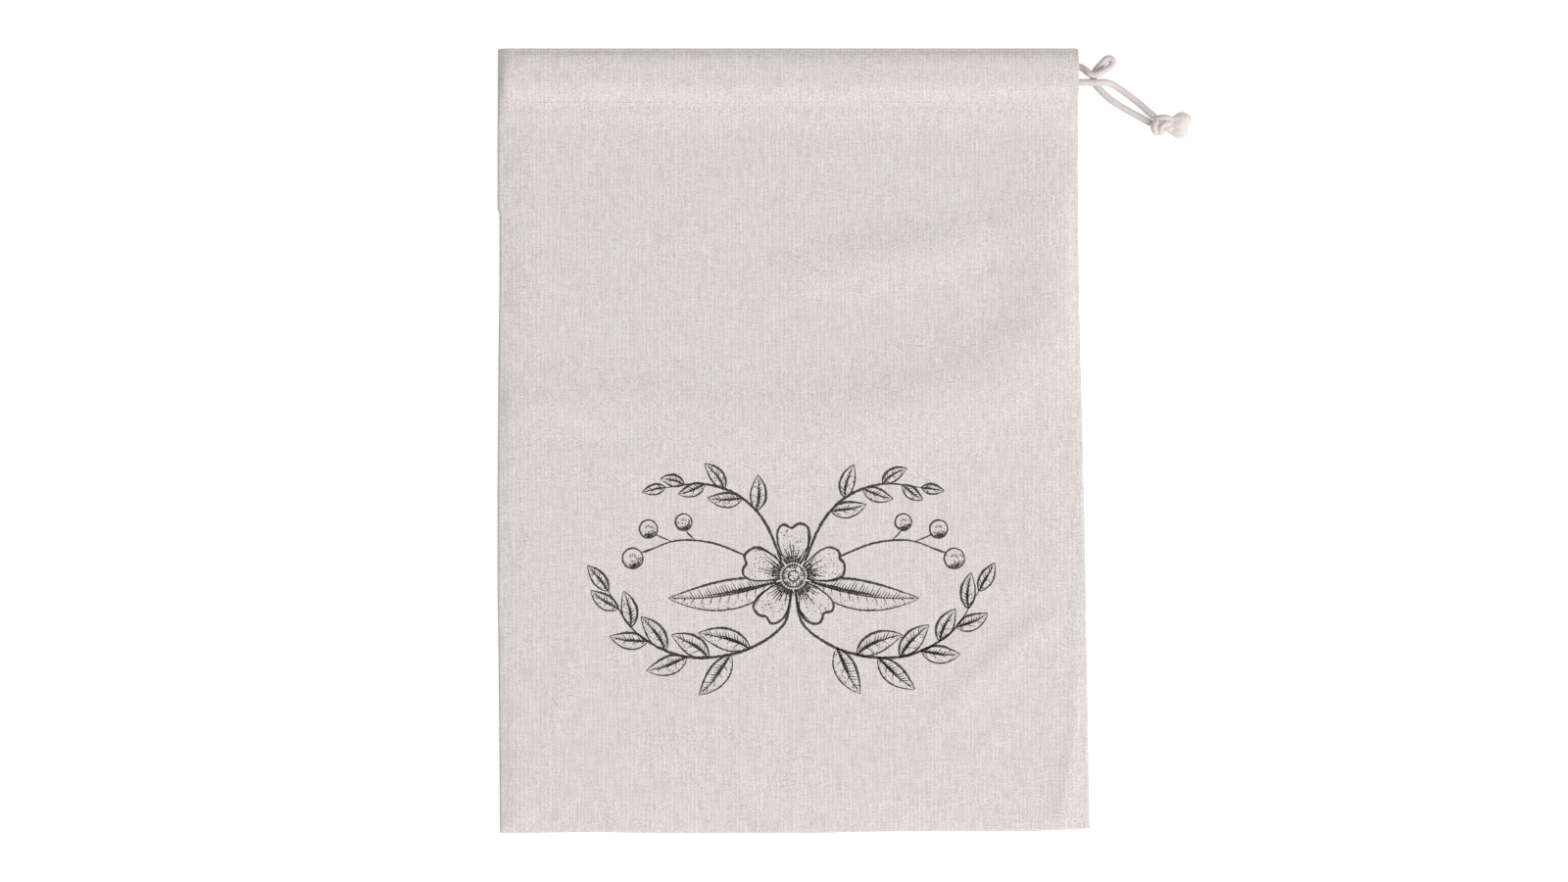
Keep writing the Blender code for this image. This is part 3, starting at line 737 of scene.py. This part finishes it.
KnotTurn = namedtuple("KnotTurn", "name thickness route")
KNOT_TURNS = [
    KnotTurn("over_the_top", 3.4, [
        (183.8, 164.0, 4.2), (186.3, 164.2, 5.6), (188.9, 164.4, 6.1), (191.2, 163.8, 5.2),
        (193.4, 162.8, 3.9),
    ]),
    KnotTurn("straight_through", 3.4, [
        (182.6, 161.75, 3.4), (184.8, 160.6, 3.2), (187.5, 159.9, 3.0), (190.4, 159.3, 3.1),
        (193.0, 158.9, 3.1),
    ]),
    KnotTurn("left_turn", 4.1, [
        (186.6, 164.0, 3.2), (185.0, 162.7, 4.9), (184.0, 160.7, 5.7), (184.0, 158.9, 5.3),
        (184.9, 157.7, 4.2), (186.5, 157.9, 2.8),
    ]),
    KnotTurn("inner_turn", 2.9, [
        (184.8, 160.0, 4.2), (186.2, 161.4, 5.6), (187.9, 162.4, 5.9), (190.0, 163.0, 4.6),
    ]),
    KnotTurn("slanting_turn", 3.2, [
        (188.4, 158.3, 2.2), (186.9, 157.1, 3.4), (186.6, 157.9, 5.5), (187.4, 159.8, 6.6),
        (188.9, 161.2, 6.8), (190.9, 161.8, 5.8), (192.8, 161.6, 3.8),
    ]),
    KnotTurn("tucked_under", 3.0, [
        (187.6, 161.0, 4.2), (189.1, 160.3, 4.8), (190.4, 159.3, 5.2), (192.0, 159.2, 4.6),
        (193.8, 160.1, 3.6),
    ]),
]

Lock = namedtuple("Lock", "root heading length spread fullest")
FRAYED_ENDS = {
    "cord_end_upper": [Lock((191.8, 162.2, 3.7), 10, 11.2, 4.1, 0.61)],
    "cord_end_lower": [
        Lock((191.2, 159.4, 3.3), -10, 10.0, 4.5, 0.56),
        Lock((191.8, 160.9, 4.0), 1, 9.2, 3.9, 0.60),
    ],
}
TUFT_SIDES = 120
TUFT_STATIONS = 30
TUFT_NECK = 2.5
TUFT_FLATNESS = 0.62
TUFT_REST = 0.15
YARN_GROOVES = 41
YARNS = 420
YARN_STATIONS = 8


def lock_reach(lock, t):
    """How far a lock of yarns stands off its middle line, at a share t of its length."""
    if t > lock.fullest:
        return lock.spread * sqrt(max(0.0, 1 - ((t - lock.fullest) / (1 - lock.fullest)) ** 2))
    return TUFT_NECK + (lock.spread - TUFT_NECK) * smooth(t / lock.fullest)


def frayed_lock(rnd, lock):
    """A lock of the cord's opened end: a round grooved mass of soft yarns, with the yarns that lie
    on it and the fibres that stand out of its rim."""
    heading = lock.heading * pi / 180
    ahead = Vector((cos(heading), sin(heading), 0.0))
    aside = Vector((-sin(heading), cos(heading), 0.0))
    phase = [rnd.uniform(0, 2 * pi) for _ in range(6)]

    def place(t, turn, reach):
        spot = Vector(lock.root) + ahead * lock.length * t + aside * cos(turn) * reach
        spot.z += sin(turn) * reach * TUFT_FLATNESS - 0.5 * t * t
        spot.z = max(spot.z, TUFT_REST)
        return spot * MM

    def groove(t, turn):
        """From 0 in the grooves between yarns to 1 on top of them."""
        stray = turn + 0.10 * sin(5 * t + phase[0]) + 0.07 * sin(3 * turn + phase[1])
        wide = YARN_GROOVES / 2 * stray + phase[2] + 1.3 * sin(4 * turn + 2 * t + phase[3])
        fine = YARN_GROOVES * 1.37 * stray + phase[4] + 0.9 * sin(7 * turn - 3 * t + phase[5])
        return 0.6 * sqrt(abs(sin(wide))) + 0.4 * sqrt(abs(sin(fine)))

    def lumps(t, turn):
        return 1 + 0.035 * sin(3 * turn + 4 * t + phase[0]) + 0.03 * sin(5 * turn - 7 * t + phase[3])

    verts = []
    relief = []
    for i in range(TUFT_STATIONS + 1):
        t = sin(pi / 2 * i / TUFT_STATIONS)
        for j in range(TUFT_SIDES):
            turn = 2 * pi * j / TUFT_SIDES
            top = groove(t, turn)
            reach = lock_reach(lock, t) * lumps(t, turn)
            verts.append(place(min(t, 0.985), turn, reach * (0.95 + 0.03 * top)))
            # Painted shade: the stored relief darkens the grooves between the yarns
            relief.append(0.6 + 0.4 * top)
    faces = woven_faces(TUFT_STATIONS + 1, TUFT_SIDES)
    faces.append(tuple(reversed(range(TUFT_SIDES))))
    faces.append(tuple(TUFT_STATIONS * TUFT_SIDES + j for j in range(TUFT_SIDES)))
    parts = [(verts, faces, relief)]

    for number in range(YARNS):
        turn = number * pi * (3 - sqrt(5))
        first = rnd.uniform(0.0, 0.4)
        last = min(1.0, first + rnd.uniform(0.4, 0.75))
        sink = rnd.uniform(0.955, 0.99)
        drift = rnd.gauss(0, 0.14)
        size = rnd.uniform(0.05, 0.1)
        spots = []
        sizes = []
        for i in range(YARN_STATIONS):
            share = i / (YARN_STATIONS - 1)
            t = first + (last - first) * share
            turned = turn + drift * share + 0.04 * sin(9 * t + number)
            reach = lock_reach(lock, min(t, 0.97)) * lumps(t, turned) * sink
            spots.append(place(t, turned, reach * (0.975 + 0.025 * sin(8 * t + number))))
            sizes.append(size * (0.4 + 0.6 * sin(pi * (0.1 + 0.8 * share))) * MM)
        parts.append(sweep(spots, sizes, 4))
    for _ in range(YARNS // 3):
        turn = rnd.uniform(0, 2 * pi)
        t = rnd.uniform(0.3, 0.97)
        reach = lock_reach(lock, t) * lumps(t, turn)
        length = rnd.uniform(0.2, 0.8)
        root = place(t, turn, reach * 0.95)
        middle = place(t + 0.05 * length, turn + rnd.gauss(0, 0.1), reach + 0.35 * length)
        tip = place(t + 0.13 * length, turn + rnd.gauss(0, 0.16), reach + rnd.uniform(0.3, 0.8) * length)
        parts.append(sweep([root, middle, tip], [0.03 * MM, 0.026 * MM, 0.012 * MM], 3))
    return parts


FRONT_RUN_Z = 5.77
BACK_RUN_Z = 3.05
RUN_POINTS = 26
TURN_STEPS = 6
TURN_IN_FROM_LEFT = 8.6
RUN_SIDES = 16
RUN_STEP = 0.45


def run_route():
    """The drawcord inside the hem: along the front hem, round the left end, back in the back hem."""
    turn_x = read_edge(LEFT_EDGE, BACK_RUN_Y) + TURN_IN_FROM_LEFT
    turn_radius = (BACK_RUN_Y - FRONT_RUN_Y) / 2
    places = np.linspace(MOUTH_X - 1.0, turn_x, RUN_POINTS)
    route = [(x, FRONT_RUN_Y + wander(x), FRONT_RUN_Z) for x in places]
    for step in range(1, TURN_STEPS):
        angle = pi * step / TURN_STEPS
        y = FRONT_RUN_Y + turn_radius * (1 - cos(angle))
        z = FRONT_RUN_Z + (BACK_RUN_Z - FRONT_RUN_Z) * smooth(step / TURN_STEPS)
        route.append((turn_x - turn_radius * sin(angle), y, z))
    route += [(x, BACK_RUN_Y + wander(x), BACK_RUN_Z) for x in reversed(places)]
    return route


def make_cords(cotton, fluff):
    radius = CORD / 2 * MM
    run_path = cord_path(run_route(), RUN_STEP)
    run = make_piece("cord_in_the_hem", [braided(run_path, radius, RUN_SIDES)], cotton)
    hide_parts("drawcord_run")

    front_path = cord_path(TAIL_FRONT_ROUTE, BRAID_STEP)
    back_path = cord_path(TAIL_BACK_ROUTE, BRAID_STEP)
    tail_front = make_piece("tail_front", [braided(front_path, radius)], cotton)
    tail_back = make_piece("tail_back", [braided(back_path, radius)], cotton)
    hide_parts("drawcord_tail_front")
    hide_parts("drawcord_tail_back")

    knot_paths = [cord_path(turn.route, BRAID_STEP) for turn in KNOT_TURNS]
    turns = [braided(path, turn.thickness / 2 * MM) for path, turn in zip(knot_paths, KNOT_TURNS)]
    knot = make_piece("overhand_knot", turns, cotton)
    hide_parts("drawcord_knot")

    for number, (end, locks) in enumerate(FRAYED_ENDS.items()):
        rnd = Random(20 + number)
        yarns = [part for lock in locks for part in frayed_lock(rnd, lock)]
        make_piece(end + "_yarns", yarns, fluff)
        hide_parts(end)

    fuzz_front, fuzz_back, fuzz_knot = [
        make_piece(name, stray_fibres(Random(seed), paths, count, radius), fluff)
        for name, seed, paths, count in (
            ("tail_front_fuzz", 5, [front_path], 380),
            ("tail_back_fuzz", 6, [back_path], 560),
            ("knot_fuzz", 7, knot_paths, 300),
        )
    ]
    [tuple(point) for point in cord_path(TAIL_FRONT_ROUTE, 1.5)]
    [tuple(point) for point in cord_path(TAIL_BACK_ROUTE, 1.5)]


# The print: a generic ink drawing of a leafy spray with an open flower, in mm on the front

INK_LOW = 0.015
INK_HIGH = 0.05


Shape = namedtuple("Shape", "centre reach outline")


def goes_round(shape, spot):
    """Whether a drawn shape's outline goes round a spot."""
    if (spot - shape.centre).length > shape.reach:
        return False
    inside = False
    for a, b in zip(shape.outline, shape.outline[1:] + shape.outline[:1]):
        if (a.y > spot.y) != (b.y > spot.y):
            if spot.x < a.x + (spot.y - a.y) * (b.x - a.x) / (b.y - a.y):
                inside = not inside
    return inside


class Pen:
    """Ink strokes and dots laid on the front cloth. What is in front is drawn first, and each
    finished shape then hides the strokes that pass behind it."""

    def __init__(self, seed):
        self.rnd = Random(seed)
        self.parts = []
        self.in_front = []

    def put_in_front(self, outline):
        centre = sum(outline, Vector((0.0, 0.0))) / len(outline)
        reach = max((point - centre).length for point in outline)
        self.in_front.append(Shape(centre, reach, outline))

    def is_hidden(self, spot):
        return any(goes_round(shape, spot) for shape in self.in_front)

    def ink(self, x, y):
        """The top and the underside of the ink at a place on the cloth."""
        level = outer_height(x, y) + CLOTH / 2
        return [Vector((x, y, level + height)) * MM for height in (INK_HIGH, INK_LOW)]

    def stroke(self, points, widest, taper=(0.35, 0.25), rough=0.22):
        """A pen stroke, thickest in its middle, broken where it passes behind another shape."""
        points = [Vector(point) for point in points]
        count = len(points)
        start, end = taper
        run = []
        for i, point in enumerate(points):
            across = square_to(points, i)
            t = i / (count - 1)
            shape = min(1.0, start + (1 - start) * t / 0.3, end + (1 - end) * (1 - t) / 0.4)
            halves = [widest / 2 * shape * (1 + self.rnd.uniform(-rough, rough)) for _ in range(2)]
            if self.is_hidden(point):
                self.ribbon(run)
                run = []
            else:
                run.append((point + across * halves[0], point - across * halves[1]))
        self.ribbon(run)

    def ribbon(self, pairs):
        """A thin closed strip of ink between pairs of edge points."""
        if len(pairs) < 2:
            return
        verts = [vert for pair in pairs for spot in pair for vert in self.ink(spot.x, spot.y)]
        faces = []
        for i in range(len(pairs) - 1):
            a = i * 4
            b = a + 4
            faces += [(a, a + 2, b + 2, b), (a + 1, b + 1, b + 3, a + 3)]
            faces += [(a, b, b + 1, a + 1), (a + 2, a + 3, b + 3, b + 2)]
        faces += [(0, 1, 3, 2), (b, b + 2, b + 3, b + 1)]
        self.parts.append((verts, faces))

    def dot(self, x, y, radius):
        """A speck of ink with six uneven corners."""
        if self.is_hidden(Vector((x, y))):
            return
        corners = []
        turn = self.rnd.uniform(0, pi)
        for i in range(6):
            angle = turn + i * pi / 3
            size = radius * self.rnd.uniform(0.75, 1.2)
            corners.append(self.ink(x + cos(angle) * size, y + sin(angle) * size))
        top, low = zip(*corners)
        faces = [(0, 1, 2, 3, 4, 5), (11, 10, 9, 8, 7, 6)]
        for i in range(6):
            k = (i + 1) % 6
            faces.append((i, i + 6, k + 6, k))
        self.parts.append((top + low, faces))


def square_to(points, i):
    """The direction square to a line at one of its points."""
    ahead = points[min(i + 1, len(points) - 1)] - points[max(i - 1, 0)]
    return Vector((-ahead.y, ahead.x)).normalized()


def bent_line(base, heading, length, bend, count):
    """Points along a line that turns evenly by bend, in radians."""
    points = [Vector(base)]
    for i in range(count):
        angle = heading + bend * (i + 0.5) / count
        points.append(points[-1] + Vector((cos(angle), sin(angle))) * length / count)
    return points


def around(x, y, angle, away):
    """The place that lies at an angle and a distance from a centre."""
    return Vector((x + cos(angle) * away, y + sin(angle) * away))


def draw_leaf(pen, base, heading, length, width, bend, dark_side):
    """A leaf: two edges, a midrib with a shadow, veins, and hatching on its dark side."""
    rnd = pen.rnd
    count = 2 * max(8, round(length / 1.5))
    rib = bent_line(base, heading, length, bend, count)
    edges = {1: [], -1: []}
    for i, point in enumerate(rib):
        t = i / count
        half = width / 2 * sin(pi * t**0.85) ** 0.85 if 0 < t < 1 else 0.0
        across = square_to(rib, i)
        for side in (1, -1):
            edges[side].append(point + across * side * half)
    for side in (1, -1):
        pen.stroke(edges[side], 1.25 if side == dark_side else 0.8, taper=(0.5, 0.35), rough=0.3)
    pen.stroke(rib[:-1], 0.75, taper=(1.0, 0.3))
    shadow = [rib[i].lerp(edges[dark_side][i], 0.16) for i in range(2, count * 2 // 3)]
    pen.stroke(shadow, width * 0.11, taper=(0.4, 0.1), rough=0.35)
    for side in (1, -1):
        for number in range(1, count // 2 - 2, 1 if side == dark_side else 3):
            i = 2 * number
            full = side == dark_side and number % 3
            reach = rnd.uniform(0.45, 0.97) if full else rnd.uniform(0.4, 0.75)
            tip = rib[i].lerp(edges[side][min(i + 4, count)], reach)
            middle = rib[i].lerp(tip, 0.5) + (rib[i + 2] - rib[i]) * 0.12
            pen.stroke([rib[i], middle, tip], 0.5 if full else 0.4, taper=(1.0, 0.3))
    for _ in range(round(length * 1.1)):
        i = rnd.randrange(2, count - 2)
        share = 1 - rnd.random() ** 2 * 0.8
        spot = rib[i].lerp(edges[-dark_side][i], share * 0.94)
        pen.dot(spot.x, spot.y, rnd.uniform(0.18, 0.36))
    pen.put_in_front(edges[1] + edges[-1][::-1])


def draw_berry(pen, x, y, radius):
    """A round berry with its shadow below and the small crown of its flower."""
    rnd = pen.rnd
    rim = [around(x, y, 0.6 + i * pi / 12, radius) for i in range(25)]
    pen.stroke(rim, 0.95, taper=(0.7, 0.7), rough=0.3)
    for away, widest in ((0.8, 0.9), (0.62, 0.6)):
        arc = [around(x, y, -2.3 + i * 0.25, radius * away) for i in range(9)]
        pen.stroke(arc, widest, taper=(0.2, 0.2), rough=0.35)
    for _ in range(round(9 * radius)):
        angle = rnd.gauss(-1.1, 0.8)
        spot = around(x, y, angle, radius * sqrt(rnd.uniform(0.05, 0.8)))
        pen.dot(spot.x, spot.y, rnd.uniform(0.2, 0.38))
    for i in range(5):
        angle = 1.6 + (i - 2) * 0.5
        pen.stroke([around(x, y, angle, radius * away) for away in (0.2, 0.35, 0.5)], 0.45)
    pen.put_in_front(rim)


def petal_edge(x, y, radius, middle, swing):
    """The place on a petal's edge at a swing from -1 to 1 round it; the tip has a small dent."""
    angle = middle + swing * 0.66 * (1 - 0.25 * abs(swing) ** 3)
    dent = 1 - 0.08 * exp(-(((swing - 0.08) / 0.14) ** 2))
    away = radius * (0.24 + 0.76 * (1 - abs(swing) ** 3.2)) * dent
    return around(x, y, angle, away * (1 + 0.015 * sin(9 * swing + middle * 3)))


def draw_flower(pen, x, y, radius):
    """An open flower with five petals, seen from the front."""
    rnd = pen.rnd
    petals = []
    for petal in range(5):
        middle = pi / 2 + petal * 2 * pi / 5
        outline = [petal_edge(x, y, radius, middle, i / 20 - 1) for i in range(41)]
        petals.append(outline)
        pen.stroke(outline, 1.35, taper=(0.5, 0.5), rough=0.3)
        for shade in (0.955, 0.91):
            rim = [petal_edge(x, y, radius * shade, middle, i / 20 - 0.95) for i in range(12)]
            pen.stroke(rim, 0.7, taper=(0.3, 0.1), rough=0.4)
        for line in range(-6, 7):
            inner = radius * 0.26
            outer = radius * rnd.uniform(0.4, 0.72) * (1 - 0.03 * abs(line))
            spots = []
            for t in (0.0, 0.33, 0.66, 1.0):
                turned = middle + line * 0.085 + 0.025 * line * t
                spots.append(around(x, y, turned, inner + (outer - inner) * t))
            pen.stroke(spots, 0.62, taper=(1.0, 0.2))
        for _ in range(95):
            angle = middle + rnd.gauss(0, 0.26)
            if abs(angle - middle) < 0.52:
                spot = around(x, y, angle, radius * (0.34 + 0.56 * rnd.random() ** 1.5))
                pen.dot(spot.x, spot.y, rnd.uniform(0.16, 0.36))
        for lean in (-0.3, -0.1, 0.1, 0.3):
            tip = around(x, y, middle + lean, radius * rnd.uniform(0.32, 0.4))
            pen.stroke([around(x, y, middle + lean, radius * 0.16), tip], 0.5, taper=(0.8, 0.8))
            pen.dot(tip.x, tip.y, 0.75)
    for away, widest in ((0.21, 0.8), (0.1, 0.7)):
        ring = [around(x, y, i * pi / 8, radius * away) for i in range(17)]
        pen.stroke(ring, widest, taper=(0.8, 0.8))
    for _ in range(90):
        spot = around(x, y, rnd.uniform(0, 2 * pi), radius * 0.2 * sqrt(rnd.random()))
        pen.dot(spot.x, spot.y, rnd.uniform(0.25, 0.45))
    for outline in petals:
        pen.put_in_front(outline)
    pen.put_in_front([around(x, y, i * pi / 8, radius * 0.3) for i in range(16)])


FLOWER_AT = (0.0, -69.0)
FLOWER_RADIUS = 27.0
Sprig = namedtuple("Sprig", "stem first_leaf leaves longest widest")
SPRIGS = [
    Sprig([(1, -78), (6, -95), (28, -108), (56, -110), (80, -98), (95, -76)], 0.30, 9, 30.0, 12.5),
    Sprig([(6, -61), (15, -41), (28, -28), (46, -22), (66, -24)], 0.36, 6, 22.0, 9.5),
]
Leaf = namedtuple("Leaf", "base heading length width bend")
BIG_LEAF = Leaf((9.0, -72.0), -0.36, 56.0, 15.0, 0.42)
BERRY_TWIG = [(12, -65), (26, -58), (42, -52), (60, -51), (76, -57)]
Berry = namedtuple("Berry", "joint centre radius")
BERRIES = [
    Berry((70, -54.2), (82, -60), 5.2),
    Berry((62, -51.4), (74, -45), 4.6),
    Berry((50, -51), (56, -41.5), 4.2),
]


def flat_curve(points, mirror):
    """Points along a smooth curve on the front, on its right half or mirrored."""
    route = smooth_route([(x * mirror, y, 0.0) for x, y in points], 0.8)
    return [Vector((point[0], point[1])) for point in route]


def draw_sprig(pen, sprig, mirror):
    """A curving stem with leaves by turns on its two sides, smaller towards its tip."""
    rnd = pen.rnd
    stem = flat_curve(sprig.stem, mirror)
    pen.stroke(stem, 1.45, taper=(0.9, 0.3), rough=0.3)
    for number in range(sprig.leaves):
        t = sprig.first_leaf + (1 - sprig.first_leaf) * number / (sprig.leaves - 1)
        i = min(int(t * (len(stem) - 1)), len(stem) - 2)
        ahead = stem[i + 1] - stem[i]
        side = 1 if number % 2 else -1
        if number == sprig.leaves - 1:
            side = 0
        size = 1.0 - 0.45 * t
        lean = side * (1.0 - 0.35 * t) + rnd.uniform(-0.08, 0.08)
        heading = np.arctan2(ahead.y, ahead.x) + lean
        length = sprig.longest * size * rnd.uniform(0.92, 1.06)
        bend = -side * 0.45 + rnd.uniform(-0.12, 0.12)
        draw_leaf(pen, stem[i], heading, length, sprig.widest * size, bend, mirror)


def make_print(finish):
    pen = Pen(31)
    draw_flower(pen, *FLOWER_AT, FLOWER_RADIUS)
    for mirror in (1, -1):
        for berry in BERRIES:
            draw_berry(pen, berry.centre[0] * mirror, berry.centre[1], berry.radius)
        pen.stroke(flat_curve(BERRY_TWIG, mirror), 1.05, taper=(0.9, 0.5))
        for joint, centre, _ in BERRIES:
            middle = ((joint[0] + centre[0]) / 2 + 1.5, (joint[1] + centre[1]) / 2)
            pen.stroke(flat_curve([joint, middle, centre], mirror), 0.75)
        (x, y), heading, length, width, bend = BIG_LEAF
        turned = heading if mirror == 1 else pi - heading
        draw_leaf(pen, (x * mirror, y), turned, length, width, bend * mirror, mirror)
        for sprig in SPRIGS:
            draw_sprig(pen, sprig, mirror)
    return make_piece("ink_print", pen.parts, finish)


# Floor and light

FLOOR_HALF = 6.0
FLOOR_BELOW = 0.3
FLOOR_GLOW = 0.6
SKY_STRENGTH = 0.55
WINDOW_SIZE = 3.8
WINDOW_POWER = 305.0
WINDOW_AT = (3.9, -3.0, 3.9)


def make_studio():
    floor = bpy.data.meshes.new("floor")
    corners = [(-1, -1), (1, -1), (1, 1), (-1, 1)]
    low = -FLOOR_BELOW * MM
    floor.from_pydata([(x * FLOOR_HALF, y * FLOOR_HALF, low) for x, y in corners], [], [(0, 1, 2, 3)])
    made = put_in_scene("floor", floor)
    paper, _, shader = new_material("white_paper_sweep", 0.9, 0.0)
    shader.inputs["Base Color"].default_value = linear("#F6F6F6")
    shader.inputs["Emission Color"].default_value = linear("#FFFFFF")
    shader.inputs["Emission Strength"].default_value = FLOOR_GLOW
    floor.materials.append(paper)
    # The paper throws no light back at the bag, so the bag's edges stay as dark as real ones
    made.visible_diffuse = False

    world = bpy.data.worlds.new("studio")
    bpy.context.scene.world = world
    world.use_nodes = True
    sky = world.node_tree.nodes["Background"]
    sky.inputs["Color"].default_value = linear("#FFFFFF")
    sky.inputs["Strength"].default_value = SKY_STRENGTH

    light = bpy.data.lights.new("soft_window", "AREA")
    light.shape = "SQUARE"
    light.size = WINDOW_SIZE
    light.energy = WINDOW_POWER
    lamp = put_in_scene("soft_window", light)
    lamp.location = WINDOW_AT
    lamp.rotation_euler = (-lamp.location).to_track_quat("-Z", "Y").to_euler()
    bpy.context.scene.view_settings.view_transform = "Standard"


place_camera()
cord_cotton = soft_cotton("braided_cotton_cord", CORD_COTTON, 0.45)
cotton_fluff = soft_cotton("frayed_cotton_yarn", OPENED_YARN, 0.3)
make_cords(cord_cotton, cotton_fluff)

linen = linen_cotton()
sewing_thread = soft_cotton("mercerised_sewing_thread", SEWING_THREAD, 0.25)
front_cloth = make_cloth("front_cloth", True, linen)
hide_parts("front_panel")
back_cloth = make_cloth("back_cloth", False, linen)
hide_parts("back_panel")
front_row = stitch_row(Random(11), lambda x, y, dip: outer_height(x, y) + CLOTH / 2 + 0.1 + dip)
front_stitches = make_piece("front_hem_stitches", front_row, sewing_thread)
back_row = stitch_row(Random(12), lambda x, y, dip: BACK_REST - CLOTH / 2 + 0.12 - dip)
back_stitches = make_piece("back_hem_stitches", back_row, sewing_thread)
ink = make_print(screen_ink())

make_studio()
